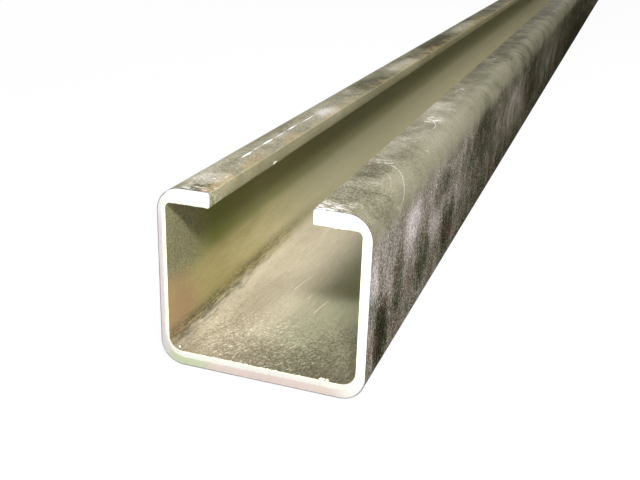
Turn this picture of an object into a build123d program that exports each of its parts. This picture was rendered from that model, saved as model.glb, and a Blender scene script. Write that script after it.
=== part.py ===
"""Strut channel: one stock length of rolled C section, open along its top between two plain lips.

A flat web, two thinner side walls and two lips turned flat over the opening, with a rounded bend at each of
the four corners, sawn off square at both ends. +Y runs along the channel, +Z points out of the slot, and the
origin is at the middle of the web's underside. Millimetres.
"""

import os

from build123d import *

# Driving dimensions
length = 1000.0
width = 41.3  # outside, across the two side walls
height = 36.0  # outside, from the web's underside to the lip tops
slot_width = 19.7  # clear opening between the two lips
wall_thickness = 1.8
web_thickness = 3.0
lip_thickness = 2.9
outer_bend_radius = 4.8  # outside of all four bends
upper_bend_radius = 1.2  # inside of the two bends under the lips, which are closed up tight
lower_bend_radius = 2.9  # inside of the two bends along the web
slit_edge_radius = 0.3  # corners of the lips' free edges, which face each other across the slot

# What follows from them
half_width = width / 2
half_slot = slot_width / 2
inside_half_width = half_width - wall_thickness
lip_underside = height - lip_thickness

with BuildPart() as channel:
    with BuildSketch(Plane.XZ):
        with BuildLine():
            # One half of the section: out along the web's underside, up, round the lip and back inside
            FilletPolyline(
                (0, 0),
                (half_width, 0),
                (half_width, height),
                (half_slot, height),
                (half_slot, lip_underside),
                (inside_half_width, lip_underside),
                (inside_half_width, web_thickness),
                (0, web_thickness),
                radius=[
                    outer_bend_radius,
                    outer_bend_radius,
                    slit_edge_radius,
                    slit_edge_radius,
                    upper_bend_radius,
                    lower_bend_radius,
                ],
            )
            mirror(about=Plane.YZ)
        make_face()
    extrude(amount=length / 2, both=True)

channel.part.label = "channel"

os.makedirs("parts", exist_ok=True)
export_step(channel.part, "parts/channel.step")
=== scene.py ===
"""Strut channel: the rolled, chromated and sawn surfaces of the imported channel, its studio and its camera."""

import math

import bmesh
import bpy
from mathutils import Euler, Matrix, Vector, noise


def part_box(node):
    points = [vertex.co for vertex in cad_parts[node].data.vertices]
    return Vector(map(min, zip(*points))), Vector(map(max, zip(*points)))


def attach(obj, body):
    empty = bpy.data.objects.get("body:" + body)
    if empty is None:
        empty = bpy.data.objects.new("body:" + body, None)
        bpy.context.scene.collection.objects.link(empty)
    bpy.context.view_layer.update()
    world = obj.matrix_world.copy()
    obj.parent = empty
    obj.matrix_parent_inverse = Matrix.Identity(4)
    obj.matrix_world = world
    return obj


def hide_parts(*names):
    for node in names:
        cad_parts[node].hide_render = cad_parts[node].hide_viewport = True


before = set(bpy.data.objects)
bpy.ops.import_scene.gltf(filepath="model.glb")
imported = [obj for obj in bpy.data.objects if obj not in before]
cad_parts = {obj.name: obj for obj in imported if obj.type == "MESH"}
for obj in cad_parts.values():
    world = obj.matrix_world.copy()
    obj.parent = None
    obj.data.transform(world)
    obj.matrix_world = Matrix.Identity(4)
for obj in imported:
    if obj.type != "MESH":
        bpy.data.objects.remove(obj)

bl_info = {
    "name": "Strut Channel",
    "version": (1, 0, 0),
    "blender": (4, 5, 0),
    "location": "View3D > Sidebar > Strut Channel",
    "description": "A length of chromated strut channel with sawn ends, its studio and its camera",
    "category": "Object",
}

NODE = "channel"
LOW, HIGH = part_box(NODE)
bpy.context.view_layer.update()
FRONT = LOW.y
MM = 0.001
NEAR = 0.01 * MM  # places closer than this are one place

# Rings of edges, in mm from each end, that keep the saw's marks from reaching down the channel
END_RINGS = (0.6, 2.0)

# Camera: its place in metres from the middle of the front end, and its turn in degrees
CAMERA_PLACE = (0.05653, -0.13233, 0.08496)
CAMERA_TURN = (68.701, -1.857, 19.635)

# Lamps: place and aim in metres from the middle of the front end, then the lamp's own length and height.
# Each lamp's power is the stage's value that starts with the lamp's name.
LAMPS = (
    ("key", (0.057, -0.124, 0.144), (0, 0.03, 0.01), 0.05, 0.014),
    ("side", (0.2, 0.2, 0.42), (0, 0.2, 0.01), 0.3, 0.14),
    ("strip", (0.34, 0.5, 0.88), (0, 0.5, 0.01), 1.2, 0.42),
    ("left", (-0.9, 0.5, 0.27), (0, 0.5, 0.02), 1.2, 0.3),
    ("back", (0, 1.6, 0.2), (0, 1.0, 0.02), 0.3, 0.2),
)

# Blots: middle (x, y from the front end, z) and half sizes in mm, then how far they lift or drop the tone
WALL_BLOTS = (
    ((20.6, 9, 10), (9, 6, 8), -0.5),
    ((20.6, 41, 13), (9, 8, 7), -0.3),
    ((20.6, 68, 12), (9, 10, 7), -0.32),
    ((20.6, 20, 16), (9, 5, 10), -0.25),
    ((20.6, 58, 25), (9, 9, 4), -0.25),
    ((20.6, 118, 24), (9, 26, 12), -0.2),
    ((20.6, 236, 20), (9, 34, 12), -0.2),
    ((20.6, 520, 18), (9, 230, 24), -0.15),
    ((20.6, 2.5, 23), (9, 3, 5), 0.12),
    ((20.6, 31, 25), (9, 9, 5), 0.15),
    ((20.6, 52, 17), (9, 6, 4), 0.15),
    ((20.6, 186, 19), (9, 22, 12), 0.12),
    ((20.6, 190, 31), (9, 14, 4), 0.05),
)
LIP_BLOTS = (
    ((-12.5, 9, 36), (4, 4, 5), 0.3),
    ((-12.0, 70, 36), (3, 7, 5), 0.25),
    ((-12.0, 146, 36), (4, 18, 5), 0.3),
    ((-13.0, 256, 36), (4, 26, 5), 0.35),
    ((-14.1, 25.7, 36), (0.3, 3.0, 2), 0.8),
    ((-14.2, 31.5, 36), (0.2, 3.0, 2), 0.4),
    ((-14.2, 37.1, 36), (0.3, 3.2, 2), 0.8),
    ((-14.1, 44.0, 36), (0.2, 4.0, 2), 0.4),
    ((-14.1, 51.0, 36), (0.3, 3.2, 2), 0.7),
    ((-13.8, 61.1, 36), (0.25, 4.5, 2), 0.6),
    ((-17.5, 46, 36), (3, 14, 5), -0.2),
    ((-13.0, 110, 36), (6, 15, 5), -0.25),
    ((-13.0, 200, 36), (6, 26, 5), -0.2),
    ((-17.2, 10, 36), (3, 9, 5), 0.25),
    ((-17.5, 22, 36), (2.5, 9, 5), 0.15),
    ((-12.0, 2.5, 36), (2.5, 3, 5), -0.25),
    ((14.5, 74, 36), (3, 4, 5), 0.2),
    ((11.5, 106, 36), (3, 14, 5), -0.1),
    ((12.5, 26, 36), (4, 6, 5), -0.15),
    ((16.5, 40, 36), (4, 9, 5), -0.15),
    ((12.0, 100, 36), (4, 20, 5), 0.1),
)
# Inner blots: the darker ones are patches; the two lighter ones are painted light.
INNER_BLOTS_AND_PAINTED_LIGHT = (
    ((-18.8, 5, 9), (3, 6, 6), -0.06),
    ((-18.8, 7, 24), (3, 10, 8), -0.12),
    # Painted light: lifts the band low on the left wall that the light through the slot reaches.
    ((-18.8, 70, 12), (3, 60, 6), 0.2),
    ((-5, 6, 3), (7, 6, 3), -0.12),
    ((13, 9, 3), (9, 15, 3), -0.12),
    # Painted light: lifts the right lip's shadow on the web.
    ((12, 62, 3), (12, 32, 3), 0.5),
    ((-11, 26, 3), (6, 18, 3), -0.12),
)

# Hair scratches: the two ends in mm, half width in mm and strength
OUTER_SCRATCHES = (
    ((15.6, 15.2, 36), (19.4, 16.0, 34.6), 0.10, 0.8),
    ((12.0, 31.8, 36), (15.0, 32.8, 36), 0.10, 0.8),
    ((11.2, 33.8, 36), (14.2, 34.4, 36), 0.10, 0.7),
    ((20.65, 38, 31), (20.65, 46, 24), 0.12, 0.6),
    ((12.5, 71, 36), (16.0, 75, 36), 0.12, 0.7),
    ((11.0, 73.5, 36), (13.5, 77, 36), 0.12, 0.6),
)
INNER_SCRATCHES = (
    ((1.6, 25.8, 3), (2.4, 32.6, 3), 0.10, 0.8),
    ((-2.0, 31.8, 3), (-1.9, 34.2, 3), 0.08, 0.7),
    ((-6.6, 35.6, 3), (-5.6, 43.4, 3), 0.08, 0.4),
    ((-17.9, 9.0, 3.9), (-17.9, 12.5, 3.9), 0.12, 0.5),
)


def size_property(name, millimetres, description):
    """A length that a user would change, given here in millimetres."""
    return bpy.props.FloatProperty(
        name=name, description=description, default=millimetres * MM, min=0.0, unit="LENGTH", precision=5
    )


def linear(channel):
    """One 0 to 255 screen value as scene-linear light."""
    value = channel / 255
    return value / 12.92 if value <= 0.04045 else ((value + 0.055) / 1.055) ** 2.4


def colour_property(name, screen, description):
    """A colour that a user would change, given here as 0 to 255 screen values."""
    return bpy.props.FloatVectorProperty(
        name=name,
        description=description,
        default=[linear(channel) for channel in screen],
        subtype="COLOR",
        size=3,
        min=0.0,
        max=1.0,
    )


class StrutSection(bpy.types.PropertyGroup):
    """Sizes of the rolled section."""

    slot_width: size_property("Slot width", 19.7, "Clear opening between the two lips")
    wall: size_property("Wall thickness", 1.8, "Thickness of the two side walls")
    web: size_property("Web thickness", 3.0, "Thickness of the web")
    lip: size_property("Lip thickness", 2.9, "Thickness of the two lips")
    outer_bend: size_property("Outer bend", 4.8, "Outside radius of the four corners")
    upper_bend: size_property("Upper bend", 1.2, "Inside radius under the lips")
    lower_bend: size_property("Lower bend", 2.9, "Inside radius beside the web")
    slit_edge: size_property("Slit edge", 0.3, "Rounding of the lips' free edges")
    arris: size_property("Arris", 0.2, "Rounding of the outside outline at the sawn ends")
    saw_burr: size_property("Saw burr", 0.35, "Raggedness of the sawn inside edge")


class StrutColours(bpy.types.PropertyGroup):
    """Colours of the chromated, scuffed and sawn surfaces, some of them painted shade and painted glints, each
    set from dark to light.
    """

    wall_dark: colour_property("Wall, dark", (30, 28, 20), "Side walls' darkest streaks")
    wall_umber: colour_property("Wall, umber", (78, 73, 56), "Side walls' stained parts")
    wall_green: colour_property("Wall, green", (44, 54, 36), "Green cast in the side walls' dark parts")
    wall_brown: colour_property("Wall, brown", (70, 56, 42), "Brown cast in the side walls' dark parts")
    wall_grey: colour_property("Wall, grey", (132, 124, 116), "Side walls' common grey")
    wall_lilac: colour_property("Wall, lilac", (168, 160, 160), "Side walls' rubbed parts")
    wall_light: colour_property("Wall, light", (222, 216, 210), "Side walls' specks and scratches")
    lip_dark: colour_property("Lip, dark", (58, 54, 38), "Dark grain on the lips")
    lip_khaki: colour_property("Lip, khaki", (112, 109, 91), "Lips' stained parts")
    lip_grey: colour_property("Lip, grey", (152, 147, 131), "Lips' common grey")
    lip_lilac: colour_property("Lip, lilac", (188, 184, 182), "Rubbed patches on the lips")
    lip_light: colour_property("Lip, light", (240, 238, 234), "Scuffs on the lips")
    bend_olive: colour_property("Bend, olive", (118, 115, 94), "Chromate on the outer bends")
    slit_gold: colour_property("Slit gold", (140, 120, 80), "Tint along the left slit edge")
    slit_face: colour_property("Slit face", (152, 147, 114), "Edges of the lips in the slot")
    inner_dark: colour_property("Inner wall, dark", (62, 60, 30), "Inner walls' darkest grain")
    inner_olive: colour_property("Inner wall, olive", (128, 122, 72), "Inner walls' chromate")
    inner_gold: colour_property("Inner wall, gold", (156, 144, 96), "Inner walls' gold chromate")
    inner_light: colour_property("Inner wall, light", (200, 190, 144), "Inner walls' palest chromate")
    # Painted shade: the green tint laid in the lip's shadow band on the inner wall.
    inner_shade_green: colour_property("Inner wall, green", (108, 116, 54), "Green cast high on the inner walls")
    inner_grey: colour_property("Inner wall, grey", (166, 164, 140), "Greyer chromate further in")
    inner_pink: colour_property("Inner pink", (146, 112, 88), "Blush low on the inner wall by the end")
    inner_slate: colour_property("Inner slate", (150, 150, 122), "Cool grain high on the wall by the end")
    web_dark: colour_property("Web, dark", (66, 62, 46), "Web's darkest grain")
    web_umber: colour_property("Web, umber", (128, 118, 97), "Web's brown grain")
    web_sand: colour_property("Web, sand", (182, 172, 149), "Web's common chromate")
    # Painted shade: the green-grey tint of the lip's shadow on the web.
    web_shade_green: colour_property("Web, green", (170, 173, 140), "Greener chromate on the web's right half")
    web_pale: colour_property("Web, pale", (220, 214, 190), "Web's palest chromate")
    # Painted highlights: the white of the glints on the web.
    web_glint_white: colour_property("Web, white", (246, 242, 228), "Sparkles on the web")
    # Painted shade: the arris colour is the thin dark line painted round the outside of the sawn ends.
    arris: colour_property("Arris", (70, 64, 96), "Thin burnt line round the outside of the sawn ends")
    cut_white: colour_property("Cut, white", (194, 193, 185), "Sawn steel beside the inner edge")
    cut_line: colour_property("Cut, line", (238, 234, 204), "Bright burr along the sawn inner edge")
    cut_green: colour_property("Cut, green", (160, 168, 138), "Sawn band round the lower left bend")
    cut_pink: colour_property("Cut, pink", (182, 168, 160), "Sawn band along the web")
    cut_grey: colour_property("Cut, grey", (176, 169, 168), "Sawn band up the left wall")


class StrutStage(bpy.types.PropertyGroup):
    """Studio round the channel."""

    floor_size: size_property("Floor size", 12000, "Side of the square floor")
    key_power: bpy.props.FloatProperty(
        name="Key power", description="Small lamp above the camera", default=0.65, unit="POWER"
    )
    side_power: bpy.props.FloatProperty(
        name="Side power", description="Soft lamp beside the front part", default=1.15, unit="POWER"
    )
    strip_power: bpy.props.FloatProperty(
        name="Strip power", description="Long soft lamp beside the whole channel", default=6.0, unit="POWER"
    )
    left_power: bpy.props.FloatProperty(
        name="Left power", description="Low soft lamp along the left wall", default=5.0, unit="POWER"
    )
    back_power: bpy.props.FloatProperty(
        name="Back power", description="Low soft lamp behind the far end", default=1.8, unit="POWER"
    )
    sky: bpy.props.FloatProperty(name="Sky", description="Grey light of the world", default=0.25)
    backdrop: bpy.props.FloatProperty(
        name="Backdrop", description="Grey level at which the world shows", default=0.945
    )
    paper: bpy.props.FloatProperty(name="Paper", description="White share of the floor", default=0.93)
    lens: bpy.props.FloatProperty(name="Lens", description="Focal length of the camera in mm", default=49.0)


def section_corners(size):
    """The C section's sharp corners, anticlockwise from the lower right, as (x, z, bend radius, segments)."""
    half = (HIGH.x - LOW.x) / 2
    slot = size.slot_width / 2
    inside = half - size.wall
    under_lip = HIGH.z - size.lip
    web_top = LOW.z + size.web
    right = [
        (half, LOW.z, size.outer_bend, 12),
        (half, HIGH.z, size.outer_bend, 12),
        (slot, HIGH.z, size.slit_edge, 3),
        (slot, under_lip, size.slit_edge, 3),
        (inside, under_lip, size.upper_bend, 6),
        (inside, web_top, size.lower_bend, 8),
    ]
    left = [(-x, z, radius, segments) for x, z, radius, segments in reversed(right)]
    return right + left


def long_edges(bm, x, z):
    """The edges that run the channel's whole length through one corner of the section."""
    return [
        edge
        for edge in bm.edges
        if all(abs(vert.co.x - x) < NEAR and abs(vert.co.z - z) < NEAR for vert in edge.verts)
    ]


def rolled_blank(size):
    """A bmesh of the channel with its four bends and its slit edges, square at both ends."""
    bm = bmesh.new()
    corners = section_corners(size)
    outline = [bm.verts.new((x, LOW.y, z)) for x, z, radius, segments in corners]
    end = bm.faces.new(outline)
    grown = bmesh.ops.extrude_face_region(bm, geom=[end])["geom"]
    far_verts = [item for item in grown if isinstance(item, bmesh.types.BMVert)]
    bmesh.ops.translate(bm, verts=far_verts, vec=(0, HIGH.y - LOW.y, 0))
    for x, z, radius, segments in corners:
        bmesh.ops.bevel(
            bm,
            geom=long_edges(bm, x, z),
            offset=radius,
            segments=segments,
            profile=0.5,
            affect="EDGES",
            material=-1,
        )
    bmesh.ops.recalc_face_normals(bm, faces=bm.faces)
    return bm


def cut_round(bm, place):
    """Adds a ring of edges round the section at one place along the channel."""
    bmesh.ops.bisect_plane(
        bm, geom=bm.verts[:] + bm.edges[:] + bm.faces[:], plane_co=(0, place, 0), plane_no=(0, 1, 0)
    )


def break_arris(bm, place, size):
    """Takes the sharp arris off the outside outline of one end."""
    centre = (LOW + HIGH) / 2
    half = (HIGH - LOW) / 2
    slack = 0.2 * MM
    outline = []
    for edge in bm.edges:
        if any(abs(vert.co.y - place) > NEAR for vert in edge.verts):
            continue
        middle = (edge.verts[0].co + edge.verts[1].co) / 2 - centre
        beside = max(0.0, abs(middle.x) - half.x + size.outer_bend)
        above = max(0.0, abs(middle.z) - half.z + size.outer_bend)
        if math.hypot(beside, above) > size.outer_bend - slack:
            outline.append(edge)
    bmesh.ops.bevel(bm, geom=outline, offset=size.arris, segments=2, profile=0.5, affect="EDGES", material=-1)
    bmesh.ops.remove_doubles(bm, verts=bm.verts, dist=0.1 * NEAR)


def burr_strips(bm, place, web_top, under_lip):
    """The flat faces beside one sawn end that carry its burr: the web's top and the lips' undersides."""
    strips = []
    for face in bm.faces:
        beside = all(abs(vert.co.y - place) < END_RINGS[0] * MM + NEAR for vert in face.verts)
        level = face.calc_center_median().z
        flat = all(abs(vert.co.z - level) < NEAR for vert in face.verts)
        if beside and flat and min(abs(level - web_top), abs(level - under_lip)) < NEAR:
            strips.append(face)
    return strips


def ragged_end(bm, place, size, seed):
    """Leaves the saw's ragged burr along the inside of one end, where the blade came through."""
    pitch = 0.35 * MM
    teeth = 1.3 / MM
    inside = (HIGH.x - LOW.x) / 2 - size.wall
    web_top = LOW.z + size.web
    under_lip = HIGH.z - size.lip
    for face in burr_strips(bm, place, web_top, under_lip):
        cross = [edge for edge in face.edges if abs(edge.verts[0].co.y - edge.verts[1].co.y) < NEAR]
        bmesh.ops.subdivide_edges(bm, edges=cross, cuts=int(cross[0].calc_length() / pitch))
    for vert in bm.verts:
        if abs(vert.co.y - place) > NEAR:
            continue
        x, z = vert.co.x, vert.co.z
        torn = max(0.0, noise.fractal(Vector((x * teeth, seed, z * teeth)), 0.8, 2.0, 3))
        if abs(z - web_top) < NEAR and abs(x) < inside - size.lower_bend:
            vert.co.z += size.saw_burr * torn
        elif abs(z - under_lip) < NEAR and abs(x) < inside - size.upper_bend:
            vert.co.z -= 0.6 * size.saw_burr * torn
    many_sided = [face for face in bm.faces if len(face.verts) > 4]
    bmesh.ops.triangulate(bm, faces=many_sided, quad_method="BEAUTY", ngon_method="BEAUTY")


def make_piece(bm, name, materials):
    """Turns a bmesh into a piece that rides on the frame's one body."""
    mesh = bpy.data.meshes.new(name)
    bm.to_mesh(mesh)
    bm.free()
    mesh.shade_smooth()
    mesh.set_sharp_from_angle(angle=math.radians(35))
    for material in materials:
        mesh.materials.append(material)
    piece = bpy.data.objects.new(name, mesh)
    bpy.context.scene.collection.objects.link(piece)
    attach(piece, "root")
    return piece


def dress_faces(bm, size):
    """Gives each face its finish: 0 outside, 1 inside, 2 sawn end."""
    half = (HIGH.x - LOW.x) / 2
    skin = 0.8 * size.wall
    slit = size.slot_width / 2 + 0.2 * MM
    for face in bm.faces:
        middle = face.calc_center_median()
        depth = min(half - abs(middle.x), middle.z - LOW.z, HIGH.z - middle.z)
        on_slit = abs(middle.x) < slit and middle.z > (LOW.z + HIGH.z) / 2
        if abs(face.normal.y) > 0.9:
            face.material_index = 2
        elif depth < skin or on_slit:
            face.material_index = 0
        else:
            face.material_index = 1


class Finish:
    """A metal finish under construction. Its places are in millimetres, with y counted from the front end."""

    def __init__(self, name, metallic):
        self.material = bpy.data.materials.new(name)
        self.material.use_nodes = True
        self.nodes = self.material.node_tree.nodes
        self.links = self.material.node_tree.links
        self.nodes.clear()
        self.shader = self.nodes.new("ShaderNodeBsdfPrincipled")
        self.shader.inputs["Metallic"].default_value = metallic
        output = self.nodes.new("ShaderNodeOutputMaterial")
        self.links.new(self.shader.outputs["BSDF"], output.inputs["Surface"])
        mapping = self.nodes.new("ShaderNodeMapping")
        mapping.inputs["Location"].default_value = (0, -FRONT / MM, 0)
        mapping.inputs["Scale"].default_value = (1 / MM, 1 / MM, 1 / MM)
        coordinates = self.nodes.new("ShaderNodeTexCoord")
        self.links.new(coordinates.outputs["Object"], mapping.inputs["Vector"])
        self.place = mapping.outputs["Vector"]
        axes = self.nodes.new("ShaderNodeSeparateXYZ")
        self.links.new(self.place, axes.inputs["Vector"])
        self.x, self.y, self.z = axes.outputs
        self.across = self.math("ABSOLUTE", self.x)
        length = (HIGH.y - LOW.y) / MM
        self.end = self.math("MINIMUM", self.y, self.math("SUBTRACT", length, self.y))

    def feed(self, socket, value):
        """Links a socket, or sets a plain number or colour on it."""
        if isinstance(value, bpy.types.NodeSocket):
            self.links.new(value, socket)
        elif isinstance(value, (int, float)):
            socket.default_value = value
        else:
            socket.default_value = (*value, 1.0) if len(socket.default_value) == 4 else value

    def math(self, operation, *values):
        """One step of arithmetic."""
        node = self.nodes.new("ShaderNodeMath")
        node.operation = operation
        for socket, value in zip(node.inputs, values):
            self.feed(socket, value)
        return node.outputs["Value"]

    def vector(self, operation, *values):
        """One step of vector arithmetic."""
        node = self.nodes.new("ShaderNodeVectorMath")
        node.operation = operation
        for socket, value in zip(node.inputs, values):
            self.feed(socket, value)
        return node.outputs["Value" if operation in ("LENGTH", "DOT_PRODUCT") else "Vector"]

    def product(self, *values):
        """All the values multiplied together."""
        total = values[0]
        for value in values[1:]:
            total = self.math("MULTIPLY", total, value)
        return total

    def total(self, *values):
        """All the values added together."""
        total = values[0]
        for value in values[1:]:
            total = self.math("ADD", total, value)
        return total

    def noise(self, scale, detail=2.0, roughness=0.5, warp=0.0, turn=0.0, axis="X_AXIS", seed=0.0):
        """Noise from 0 to 1, with so many features a millimetre along x, y and z, turned in degrees."""
        vector = self.place
        if turn:
            rotate = self.nodes.new("ShaderNodeVectorRotate")
            rotate.rotation_type = axis
            rotate.inputs["Angle"].default_value = math.radians(turn)
            self.feed(rotate.inputs["Vector"], vector)
            vector = rotate.outputs["Vector"]
        node = self.nodes.new("ShaderNodeTexNoise")
        node.inputs["Scale"].default_value = 1.0
        node.inputs["Detail"].default_value = detail
        node.inputs["Roughness"].default_value = roughness
        node.inputs["Distortion"].default_value = warp
        shift = (seed, seed * 1.7, seed * 2.3)
        self.feed(node.inputs["Vector"], self.vector("MULTIPLY_ADD", vector, scale, shift))
        return node.outputs["Fac"]

    def swing(self, value, gain):
        """A 0 to 1 value turned into a swing about zero."""
        return self.math("MULTIPLY_ADD", value, gain, -gain / 2)

    def rise(self, value, low, high, start=0.0, end=1.0):
        """A smooth step from start to end as the value goes from low to high."""
        node = self.nodes.new("ShaderNodeMapRange")
        node.interpolation_type = "SMOOTHSTEP"
        self.feed(node.inputs["Value"], value)
        limits = ((low, start), (high, end)) if low < high else ((high, end), (low, start))
        node.inputs["From Min"].default_value = limits[0][0]
        node.inputs["From Max"].default_value = limits[1][0]
        node.inputs["To Min"].default_value = limits[0][1]
        node.inputs["To Max"].default_value = limits[1][1]
        return node.outputs["Result"]

    def ramp(self, value, *stops):
        """A colour or number that runs straight between stops of (value, result)."""
        low, high = stops[0][0], stops[-1][0]
        scaled = self.math("MULTIPLY_ADD", value, 1 / (high - low), -low / (high - low))
        node = self.nodes.new("ShaderNodeValToRGB")
        band = node.color_ramp.elements
        for stop in stops[2:]:
            band.new(0.5)
        for element, (place, result) in zip(band, stops):
            element.position = (place - low) / (high - low)
        for element, (place, result) in zip(band, stops):
            grey = isinstance(result, (int, float))
            element.color = (result, result, result, 1) if grey else (*result, 1)
        self.feed(node.inputs["Fac"], scaled)
        return node.outputs["Color"]

    def blend(self, amount, under, over):
        """One colour laid over another."""
        node = self.nodes.new("ShaderNodeMix")
        node.data_type = "RGBA"
        self.feed(node.inputs[0], amount)
        self.feed(node.inputs[6], under)
        self.feed(node.inputs[7], over)
        return node.outputs[2]

    def blot(self, middle, radii, warp):
        """1 at its middle and 0 past its radii, with an edge made uneven by warp."""
        offset = self.vector("DIVIDE", self.vector("SUBTRACT", self.place, middle), radii)
        return self.rise(self.math("ADD", self.vector("LENGTH", offset), self.swing(warp, 1.6)), 1.2, 0.4)

    def blots(self, spots, warp):
        """The tone that a group of blots adds."""
        return self.total(
            *(self.product(self.blot(middle, radii, warp), lift) for middle, radii, lift in spots)
        )

    def hair(self, start, stop, half_width, break_up):
        """A thin straight scratch between two places."""
        start, stop = Vector(start), Vector(stop)
        run = stop - start
        offset = self.vector("SUBTRACT", self.place, start)
        along = self.vector("DOT_PRODUCT", offset, run.normalized())
        held = self.math("MINIMUM", self.math("MAXIMUM", along, 0.0), run.length)
        nearest = self.vector("SCALE", tuple(run.normalized()))
        self.feed(nearest.node.inputs["Scale"], held)
        distance = self.vector("LENGTH", self.vector("SUBTRACT", offset, nearest))
        line = self.rise(distance, half_width * 1.6, half_width * 0.4)
        return self.product(line, self.rise(break_up, 0.3, 0.5))

    def scratches(self, lines, break_up):
        """The tone that a group of straight scratches adds."""
        return self.total(
            *(self.product(self.hair(a, b, width, break_up), lift) for a, b, width, lift in lines)
        )

    def arc(self, middle, radii, half_width, break_up):
        """A curved scratch on the right lip: the quarter of an oval past its middle in x and y."""
        offset = self.vector("DIVIDE", self.vector("SUBTRACT", self.place, (*middle, 0)), (*radii, 1e6))
        away = self.math("ABSOLUTE", self.math("SUBTRACT", self.vector("LENGTH", offset), 1.0))
        line = self.rise(away, half_width / radii[0] * 1.5, half_width / radii[0] * 0.4)
        quarter = self.product(
            self.rise(self.x, middle[0] + 2, middle[0] + 4), self.rise(self.y, middle[1] - 4, middle[1])
        )
        return self.product(line, quarter, self.rise(break_up, 0.35, 0.5))

    def contour(self, field, width):
        """Thin wandering hairlines along one level of a noise field."""
        return self.rise(self.math("ABSOLUTE", self.math("SUBTRACT", field, 0.5)), width, width * 0.25)

    def bump(self, height, distance, strength):
        """Relief so many millimetres deep."""
        node = self.nodes.new("ShaderNodeBump")
        node.inputs["Distance"].default_value = distance * MM
        node.inputs["Strength"].default_value = strength
        self.feed(node.inputs["Height"], height)
        self.feed(self.shader.inputs["Normal"], node.outputs["Normal"])

    def done(self, colour, roughness):
        """Feeds the shader and hands over the material."""
        self.feed(self.shader.inputs["Base Color"], colour)
        self.feed(self.shader.inputs["Roughness"], roughness)
        return self.material


def side_wall_colour(f, c, clouds, blotches, strokes, fine, hairs):
    """Tone and colour of the side walls and the underside, in streaks across the channel, with painted shade
    that deepens away from the ends.
    """
    wall_tone = f.total(
        # Painted shade: the walls darken away from the ends; they are lighter again over the far half and
        # darker towards the bottom.
        f.ramp(f.end, (0, 0.54), (40, 0.52), (90, 0.38), (180, 0.27), (400, 0.17)),
        f.rise(f.y, 500, 620, 0.0, 0.15),
        f.rise(f.z, 21.0, 3.0, 0.0, -0.17),
        # Painted light: the left outer wall is made lighter.
        f.rise(f.x, -18.0, -20.0, 0.0, 0.2),
        f.swing(clouds, 0.5),
        f.swing(blotches, 0.6),
        f.swing(strokes, 1.0),
        f.swing(fine, 2.2),
        f.product(f.rise(fine, 0.60, 0.68), 0.35),
        f.product(hairs, 0.25),
        f.blots(WALL_BLOTS, strokes),
    )
    wall = f.ramp(
        wall_tone,
        (0, c.wall_dark),
        (0.3, c.wall_umber),
        (0.6, c.wall_grey),
        (0.85, c.wall_lilac),
        (1.15, c.wall_light),
    )
    hue = f.noise((0.10, 0.09, 0.12), detail=3, roughness=0.6, seed=41)
    wall = f.blend(f.product(f.rise(hue, 0.50, 0.62), f.rise(wall_tone, 0.75, 0.2), 0.6), wall, c.wall_green)
    wall = f.blend(f.product(f.rise(hue, 0.48, 0.36), f.rise(wall_tone, 0.7, 0.25), 0.5), wall, c.wall_brown)
    return wall_tone, wall


def lip_colour(f, c, slit, clouds, blotches, grain, hairs, gaps):
    """Colour of the lip tops and of the lips' edges in the slot, with painted shade away from the ends and
    along the left outer edge.
    """
    cross = f.noise((0.45, 2.2, 2.2), detail=4, roughness=0.75, turn=10, axis="Z_AXIS", seed=12)
    scuffs = f.product(f.rise(f.end, 9.0, 0.5), f.rise(cross, 0.42, 0.58), f.rise(f.across, 17.5, 15.0))
    calm = f.ramp(f.end, (0, 1.0), (50, 0.75), (150, 0.4), (400, 0.35))
    lip_tone = f.total(
        # Painted shade: the lips darken away from the ends.
        f.ramp(f.end, (0, 0.27), (25, 0.41), (70, 0.45), (150, 0.23), (260, 0.10), (400, 0.12)),
        f.rise(f.x, -2.0, 2.0, 0.0, -0.02),
        f.swing(clouds, 0.6),
        f.swing(blotches, 0.6),
        f.product(f.swing(grain, 1.5), calm),
        f.product(f.swing(cross, 0.45), calm),
        # Painted shade: a dark line along the left lip's outer edge, where the bend turns away from the light.
        f.rise(f.x, -19.3, -20.4, 0.0, -0.6),
        f.product(scuffs, 0.7),
        f.product(hairs, 0.45),
        f.product(f.arc((8.5, 18.5), (12.1, 15.0), 0.13, gaps), 0.4),
        f.product(f.arc((8.0, 17.0), (10.4, 12.4), 0.08, gaps), 0.22),
        f.product(f.arc((8.0, 66.0), (8.0, 10.5), 0.12, gaps), 0.35),
        f.blots(LIP_BLOTS, cross),
        f.scratches(OUTER_SCRATCHES, gaps),
    )
    lip = f.ramp(
        lip_tone,
        (0, c.lip_dark),
        (0.32, c.lip_khaki),
        (0.62, c.lip_grey),
        (0.9, c.lip_lilac),
        (1.2, c.lip_light),
    )
    gilt = f.product(f.rise(f.x, -13.5, -10.6), f.rise(f.x, -9.8, -9.95), f.rise(blotches, 0.44, 0.56), 0.5)
    lip = f.blend(gilt, lip, c.slit_gold)
    lip = f.blend(f.product(f.rise(f.across, slit + 0.2, slit + 0.02), 0.6), lip, c.slit_face)
    return lip


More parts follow.
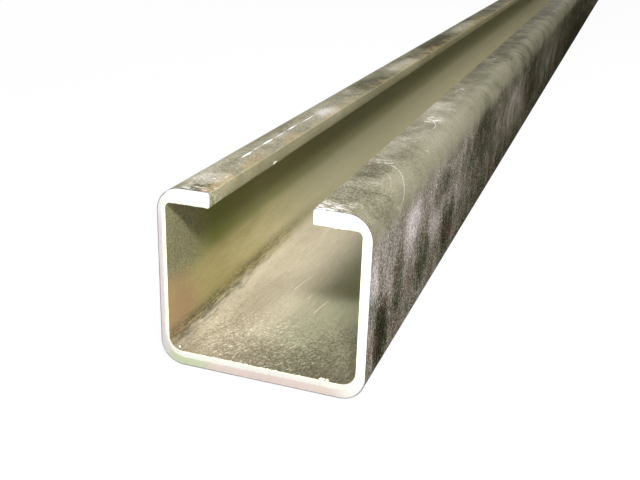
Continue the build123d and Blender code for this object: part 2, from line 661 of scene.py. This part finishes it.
def outer_finish(c, size):
    """Outside of the channel: lip tops, slit edges, outer bends, side walls and underside."""
    f = Finish("scuffed_chromate", 0.0)
    f.shader.inputs["Specular IOR Level"].default_value = 0.0
    clouds = f.noise((0.06, 0.05, 0.07), detail=4, roughness=0.62, warp=0.8)
    blotches = f.noise((0.22, 0.20, 0.16), detail=4, roughness=0.62, warp=0.5, seed=7)
    strokes = f.noise((1.0, 2.4, 0.42), detail=4, roughness=0.75, turn=-7, seed=1)
    fine = f.noise((3.2, 3.6, 1.7), detail=3, roughness=0.8, turn=-10, seed=9)
    grain = f.noise((2.3, 1.8, 2.3), detail=4, roughness=0.8, seed=3)
    gaps = f.noise((0.5, 0.4, 0.5), detail=2, seed=31)
    hairs = f.contour(f.noise((0.16, 0.10, 0.13), detail=1, roughness=0.5, warp=0.3, seed=21), 0.003)
    hairs = f.product(hairs, f.rise(gaps, 0.5, 0.62))
    slit = size.slot_width / 2 / MM

    wall_tone, wall = side_wall_colour(f, c, clouds, blotches, strokes, fine, hairs)
    lip = lip_colour(f, c, slit, clouds, blotches, grain, hairs, gaps)

    # Outer bends: smooth olive chromate between the lips and the walls
    bend = f.product(f.rise(f.across, 14.6, 17.5), f.rise(f.z, 27.0, 31.5))
    bend = f.product(bend, f.rise(clouds, 0.30, 0.55), f.rise(f.end, 320, 90, 0.4, 1.0))
    top = f.rise(f.math("ADD", f.z, f.swing(strokes, 6.0)), 29.5, 33.0)
    colour = f.blend(top, wall, lip)
    colour = f.blend(f.product(bend, 0.55), colour, c.bend_olive)
    # Painted shade: a thin dark line on the arris round the outside of the sawn ends.
    colour = f.blend(f.product(f.rise(f.end, 0.34, 0.16), 0.85), colour, c.arris)

    shine = f.total(f.product(top, 0.25), f.product(f.rise(wall_tone, 0.55, 0.9), 0.15))
    f.feed(f.shader.inputs["Metallic"], shine)
    f.bump(f.total(f.product(strokes, 1.2), fine, f.product(grain, 0.6)), 0.05, 0.6)
    return f.done(colour, f.rise(f.math("ADD", blotches, fine), 0.7, 1.3, 0.45, 0.68))


def inner_wall_colour(f, c, clouds, fibre, grain, ending):
    """Inner walls: gold low down and further in, lighter further in as painted light, with painted shade high
    up where the lip's shadow falls; cooler and grainier by the ends.
    """
    # Painted shade and light in the band high on the inner walls where the lip's shadow falls: darker near the
    # ends, lighter further in.
    lip_shadow_tone = f.ramp(f.end, (0, -0.05), (20, -0.15), (50, 0.4), (120, 0.5), (300, 0.5))
    wall_tone = f.total(
        # Painted light: the inner walls grow lighter further in.
        f.ramp(f.end, (0, 0.55), (20, 0.56), (50, 0.68), (110, 0.80), (220, 0.82), (500, 0.74)),
        f.product(f.rise(f.z, 15.0, 19.0), lip_shadow_tone),
        f.swing(clouds, 0.35),
        f.swing(fibre, 0.3),
        f.swing(grain, 0.55),
        f.product(ending, f.swing(grain, 0.6)),
        f.blots(INNER_BLOTS_AND_PAINTED_LIGHT, grain),
    )
    wall = f.ramp(
        wall_tone,
        (0, c.inner_dark),
        (0.35, c.inner_olive),
        (0.65, c.inner_gold),
        (1.0, c.inner_light),
    )
    # Painted shade: a green tint high on the left inner wall, in the band where the lip's shadow falls.
    high = f.product(f.rise(f.z, 15.5, 19.0), f.rise(f.x, 0.0, -4.0))
    wall = f.blend(f.product(f.rise(f.end, 30.0, 100.0), 0.75), wall, c.inner_grey)
    shade_greening = f.ramp(f.end, (0, 0.0), (8, 0.1), (20, 0.8), (45, 0.6), (100, 0.45), (300, 0.4))
    wall = f.blend(f.product(high, shade_greening), wall, c.inner_shade_green)
    slate = f.product(f.rise(f.end, 20.0, 8.0), f.rise(f.z, 13.0, 20.0), 0.7)
    wall = f.blend(slate, wall, f.blend(f.rise(grain, 0.3, 0.7), c.web_dark, c.inner_slate))
    wall = f.blend(f.product(f.blot((-18.8, 3, 9), (3, 13, 8), clouds), 0.6), wall, c.inner_pink)
    return wall


def broken_streak(f, fibre, grain):
    """Where the dark broken streak lies, low on the left inner wall."""
    drift = f.total(f.z, f.swing(fibre, 5.0), f.rise(f.y, 20, 60, 0.0, -1.2))
    low = f.product(f.rise(drift, 2.6, 4.8), f.rise(drift, 8.4, 5.6), f.rise(f.x, -15.5, -17.5))
    return f.product(low, f.rise(f.y, 110, 20), f.rise(f.math("ADD", fibre, grain), 0.86, 1.08))


def web_colour(f, c, clouds, fibre, grain, wrinkle, gaps, ending):
    """Web: sand further in and lighter there as painted light, brown with painted glints by the ends, and
    painted green-grey shade on its right half.
    """
    # Painted highlights: glints near the front end of the web.
    painted_glints = f.product(f.rise(wrinkle, 0.56, 0.68), f.rise(grain, 0.4, 0.6))
    painted_glints = f.product(f.blot((-3, 7, 3), (14, 14, 3), clouds), painted_glints)
    web_tone = f.total(
        # Painted light: the web grows lighter further in.
        f.ramp(f.end, (0, 0.43), (12, 0.63), (30, 0.72), (60, 0.69), (110, 0.73), (250, 0.83), (500, 0.8)),
        f.rise(f.x, -6.0, -16.0, 0.0, -0.14),
        f.swing(clouds, 0.3),
        f.swing(fibre, 0.25),
        f.swing(grain, 0.35),
        f.product(ending, f.swing(wrinkle, 0.7)),
        f.product(ending, f.swing(grain, 0.9)),
        # Painted glints lift the tone.
        f.product(painted_glints, 0.9),
        f.blots(INNER_BLOTS_AND_PAINTED_LIGHT, grain),
        f.scratches(INNER_SCRATCHES, gaps),
    )
    web = f.ramp(
        web_tone,
        (0, c.web_dark),
        (0.35, c.web_umber),
        (0.7, c.web_sand),
        (1.0, c.web_pale),
        (1.4, c.web_glint_white),
    # Painted glints reach this white.
    )
    # Painted shade: a green-grey tint on the web's right half, where the right lip's shadow falls.
    green = f.blend(f.rise(web_tone, 0.3, 0.9), c.web_dark, c.web_shade_green)
    web = f.blend(f.product(f.rise(f.x, -8.0, 6.0), 0.7), web, green)
    return web


def inner_finish(c):
    """Inside of the channel: dull chromate, grainy by the ends."""
    f = Finish("dull_chromate", 0.12)
    f.shader.inputs["Specular IOR Level"].default_value = 0.3
    clouds = f.noise((0.07, 0.03, 0.07), detail=3, roughness=0.55, warp=0.5, seed=2)
    fibre = f.noise((1.5, 0.16, 1.5), detail=4, roughness=0.7, seed=4)
    grain = f.noise((2.4, 2.0, 2.4), detail=4, roughness=0.85, seed=5)
    wrinkle = f.noise((2.4, 0.8, 2.4), detail=4, roughness=0.75, warp=0.4, turn=28, axis="Z_AXIS", seed=8)
    gaps = f.noise((0.5, 0.4, 0.5), detail=2, seed=32)
    ending = f.rise(f.end, 34.0, 6.0)

    wall = inner_wall_colour(f, c, clouds, fibre, grain, ending)
    web = web_colour(f, c, clouds, fibre, grain, wrinkle, gaps, ending)
    colour = f.blend(f.rise(f.z, 5.6, 3.3), wall, web)
    colour = f.blend(f.product(broken_streak(f, fibre, grain), 0.85), colour, c.web_dark)

    f.bump(f.total(grain, f.product(ending, wrinkle)), 0.05, 0.5)
    return f.done(colour, f.rise(grain, 0.3, 0.7, 0.55, 0.75))


def depth_in_section(f, size):
    """How deep a place on the sawn end lies under the section's outside, in mm."""
    half_width = (HIGH.x - LOW.x) / 2 / MM
    half_height = (HIGH.z - LOW.z) / 2 / MM
    bend = size.outer_bend / MM
    beside = f.math("MAXIMUM", f.math("SUBTRACT", f.across, half_width - bend), 0.0)
    level = f.math("ABSOLUTE", f.math("SUBTRACT", f.z, half_height))
    above = f.math("MAXIMUM", f.math("SUBTRACT", level, half_height - bend), 0.0)
    corner = f.math("SQRT", f.math("ADD", f.product(beside, beside), f.product(above, above)))
    return f.math("SUBTRACT", bend, corner)


def sawn_finish(c, size):
    """The sawn ends: bright bare steel, with a tinted band left along the outside of the web and walls."""
    f = Finish("sawn_steel", 0.15)
    depth = depth_in_section(f, size)
    tear = f.noise((1.2, 1.2, 1.2), detail=3, roughness=0.6, seed=6)
    saw = f.noise((0.5, 0.5, 3.0), detail=2, seed=16)
    band_width = f.math("ADD", f.rise(f.z, 2.0, 8.0, 1.75, 0.95), f.swing(tear, 0.7))
    band = f.rise(f.math("SUBTRACT", depth, band_width), 0.22, -0.12)
    band = f.product(band, f.rise(f.z, 34.0, 29.0), f.rise(f.x, 20.3, 17.0))
    tint = f.ramp(
        f.x,
        (-19.5, c.cut_grey),
        (-18.0, c.cut_green),
        (-12.5, c.cut_green),
        (-9.0, c.cut_pink),
        (14.0, c.cut_pink),
        (18.0, c.cut_white),
    )
    tint = f.blend(f.rise(f.math("ADD", f.z, f.swing(tear, 6)), 8.0, 15.0), tint, c.cut_grey)
    colour = f.blend(band, c.cut_white, tint)
    thickness = f.rise(f.z, 3.5, 6.0, size.web / MM, size.wall / MM)
    rim = f.rise(f.math("SUBTRACT", depth, thickness), -0.34, -0.16)
    colour = f.blend(f.product(rim, f.rise(f.z, 33.5, 31.5)), colour, c.cut_line)
    colour = f.blend(f.product(f.rise(tear, 0.58, 0.70), 0.3), colour, c.wall_lilac)
    # Painted shade: a thin dark line along the sawn end's outside edge on the left wall and under the web.
    shaded_low_left = f.math("MAXIMUM", f.rise(f.x, -17.5, -19.5), f.rise(f.z, 5.0, 2.5))
    colour = f.blend(f.product(f.rise(depth, 0.32, 0.14), shaded_low_left, 0.9), colour, c.arris)
    f.bump(saw, 0.03, 0.3)
    return f.done(colour, 0.55)


class STRUT_OT_rolled_channel(bpy.types.Operator):
    """Make the rolled channel with its bends and sawn ends"""

    bl_idname = "strut.rolled_channel"
    bl_label = "Rolled Channel"

    def execute(self, context):
        size = context.scene.strut_section
        colours = context.scene.strut_colours
        bm = rolled_blank(size)
        for inset in END_RINGS:
            cut_round(bm, LOW.y + inset * MM)
            cut_round(bm, HIGH.y - inset * MM)
        break_arris(bm, LOW.y, size)
        break_arris(bm, HIGH.y, size)
        ragged_end(bm, LOW.y, size, 1.0)
        ragged_end(bm, HIGH.y, size, 2.0)
        bm.normal_update()
        dress_faces(bm, size)
        finishes = [outer_finish(colours, size), inner_finish(colours), sawn_finish(colours, size)]
        piece = make_piece(bm, "rolled_channel", finishes)
        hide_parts(NODE)
        return {"FINISHED"}


# Burrs along the edges: where they sit and their half sizes in mm, then their turn about y in degrees
BURRS = (
    ((-9.9, 30.6, 33.5), (0.28, 1.0, 0.35), 20),
    ((12.4, 0.35, 3.05), (0.55, 0.3, 0.28), 0),
    ((13.4, 0.35, 3.05), (0.3, 0.3, 0.35), 30),
    ((13.8, 0.3, 33.05), (0.35, 0.25, 0.22), 10),
    ((15.0, 0.3, 33.1), (0.22, 0.25, 0.25), 0),
    ((-16.8, 0.3, 3.7), (0.2, 0.2, 0.2), 40),
)


class STRUT_OT_edge_burrs(bpy.types.Operator):
    """Make the small burrs left on the slit edge and on the sawn end"""

    bl_idname = "strut.edge_burrs"
    bl_label = "Edge Burrs"

    def execute(self, context):
        bm = bmesh.new()
        for number, (middle, half, turn) in enumerate(BURRS):
            made = bmesh.ops.create_icosphere(bm, subdivisions=2, radius=1.0)["verts"]
            for vert in made:
                vert.co *= 1.0 + 0.35 * noise.noise(vert.co * 1.7 + Vector((number * 5.0, 0, 0)))
            bmesh.ops.scale(bm, verts=made, vec=[value * MM for value in half])
            tilt = Matrix.Rotation(math.radians(turn), 3, "Y")
            bmesh.ops.rotate(bm, verts=made, cent=(0, 0, 0), matrix=tilt)
            x, y, z = middle
            bmesh.ops.translate(bm, verts=made, vec=(x * MM, FRONT + y * MM, z * MM))
        make_piece(bm, "edge_burrs", [bpy.data.materials["sawn_steel"]])
        return {"FINISHED"}


class STRUT_OT_stage(bpy.types.Operator):
    """Make the floor, the lamps and the camera"""

    bl_idname = "strut.stage"
    bl_label = "Stage"

    def execute(self, context):
        stage = context.scene.strut_stage
        floor_mesh = bpy.data.meshes.new("floor")
        bm = bmesh.new()
        bmesh.ops.create_grid(bm, x_segments=1, y_segments=1, size=stage.floor_size / 2)
        bm.to_mesh(floor_mesh)
        bm.free()
        floor = bpy.data.objects.new("floor", floor_mesh)
        context.scene.collection.objects.link(floor)
        floor_mesh.materials.append(floor_finish(stage))
        for name, place, aim, width, height in LAMPS:
            area_lamp(context.scene, name, place, aim, width, height, getattr(stage, f"{name}_power"))
        context.scene.world = studio_world(stage)
        place_camera(context.scene, stage)
        return {"FINISHED"}


def seen_directly(nodes, links):
    """1 for what the camera, a reflection or a clear part shows, and 0 for what only sheds light."""
    path = nodes.new("ShaderNodeLightPath")
    total = path.outputs["Is Camera Ray"]
    for name in ("Is Glossy Ray", "Is Transmission Ray"):
        node = nodes.new("ShaderNodeMath")
        node.operation = "MAXIMUM"
        links.new(total, node.inputs[0])
        links.new(path.outputs[name], node.inputs[1])
        total = node.outputs[0]
    return total


def floor_finish(stage):
    """Pale floor that the camera sees as white paper, with the channel's shadow kept on it."""
    material = bpy.data.materials.new("pale_floor")
    material.use_nodes = True
    nodes = material.node_tree.nodes
    links = material.node_tree.links
    nodes.clear()
    output = nodes.new("ShaderNodeOutputMaterial")
    paper = nodes.new("ShaderNodeBsdfDiffuse")
    paper.inputs["Color"].default_value = (0.8, 0.8, 0.8, 1)
    glow = nodes.new("ShaderNodeEmission")
    glow.inputs["Strength"].default_value = 1.0
    share = nodes.new("ShaderNodeMath")
    share.operation = "MULTIPLY"
    share.inputs[1].default_value = stage.paper
    links.new(seen_directly(nodes, links), share.inputs[0])
    mix = nodes.new("ShaderNodeMixShader")
    links.new(share.outputs[0], mix.inputs[0])
    links.new(paper.outputs[0], mix.inputs[1])
    links.new(glow.outputs[0], mix.inputs[2])
    links.new(mix.outputs[0], output.inputs["Surface"])
    return material


def area_lamp(scene, name, place, aim, width, height, power):
    """A rectangular soft lamp, placed and aimed from the middle of the front end."""
    front = Vector((0, FRONT, 0))
    data = bpy.data.lights.new(name, "AREA")
    data.shape = "RECTANGLE"
    data.size = width
    data.size_y = height
    data.energy = power
    lamp = bpy.data.objects.new(name, data)
    lamp.location = front + Vector(place)
    lamp.rotation_euler = (Vector(aim) - Vector(place)).to_track_quat("-Z", "Y").to_euler()
    scene.collection.objects.link(lamp)


def studio_world(stage):
    """Even grey light from all round, that shows as a white backdrop."""
    world = bpy.data.worlds.new("studio")
    world.use_nodes = True
    nodes = world.node_tree.nodes
    links = world.node_tree.links
    light = nodes["Background"]
    light.inputs["Color"].default_value = (stage.sky, stage.sky, stage.sky, 1)
    backdrop = nodes.new("ShaderNodeBackground")
    backdrop.inputs["Color"].default_value = (stage.backdrop, stage.backdrop, stage.backdrop, 1)
    mix = nodes.new("ShaderNodeMixShader")
    links.new(seen_directly(nodes, links), mix.inputs[0])
    links.new(light.outputs[0], mix.inputs[1])
    links.new(backdrop.outputs[0], mix.inputs[2])
    links.new(mix.outputs[0], nodes["World Output"].inputs["Surface"])
    return world


def place_camera(scene, stage):
    """The camera stands to the right of the front end and above it, and looks along the channel."""
    data = bpy.data.cameras.new("camera")
    data.lens = stage.lens
    data.clip_start = 0.01
    camera = bpy.data.objects.new("camera", data)
    camera.location = Vector((0, FRONT, 0)) + Vector(CAMERA_PLACE)
    camera.rotation_euler = Euler([math.radians(angle) for angle in CAMERA_TURN])
    scene.collection.objects.link(camera)
    scene.camera = camera


class STRUT_PT_builder(bpy.types.Panel):
    """Lists the channel's sizes, colours, studio and pieces"""

    bl_idname = "STRUT_PT_builder"
    bl_label = "Strut Channel"
    bl_space_type = "VIEW_3D"
    bl_region_type = "UI"
    bl_category = "Strut Channel"

    def draw(self, context):
        scene = context.scene
        for title, group in (
            ("Section", scene.strut_section),
            ("Colours", scene.strut_colours),
            ("Stage", scene.strut_stage),
        ):
            column = self.layout.column(align=True)
            column.label(text=title)
            for name in group.bl_rna.properties.keys():
                if name not in ("rna_type", "name"):
                    column.prop(group, name)
        column = self.layout.column(align=True)
        for operator in ("strut.rolled_channel", "strut.edge_burrs", "strut.stage"):
            column.operator(operator)


CLASSES = (
    StrutSection,
    StrutColours,
    StrutStage,
    STRUT_OT_rolled_channel,
    STRUT_OT_edge_burrs,
    STRUT_OT_stage,
    STRUT_PT_builder,
)


def register():
    """Registers the classes and keeps their settings on the scene."""
    for cls in CLASSES:
        bpy.utils.register_class(cls)
    bpy.types.Scene.strut_section = bpy.props.PointerProperty(type=StrutSection)
    bpy.types.Scene.strut_colours = bpy.props.PointerProperty(type=StrutColours)
    bpy.types.Scene.strut_stage = bpy.props.PointerProperty(type=StrutStage)


def unregister():
    """Takes back what register did."""
    del bpy.types.Scene.strut_stage
    del bpy.types.Scene.strut_colours
    del bpy.types.Scene.strut_section
    for cls in reversed(CLASSES):
        bpy.utils.unregister_class(cls)


def main():
    """Builds the pieces and the stage in order."""
    register()
    bpy.context.scene.view_settings.view_transform = "Standard"
    bpy.ops.strut.rolled_channel()
    bpy.ops.strut.edge_burrs()
    bpy.ops.strut.stage()


if __name__ == "__main__":
    main()
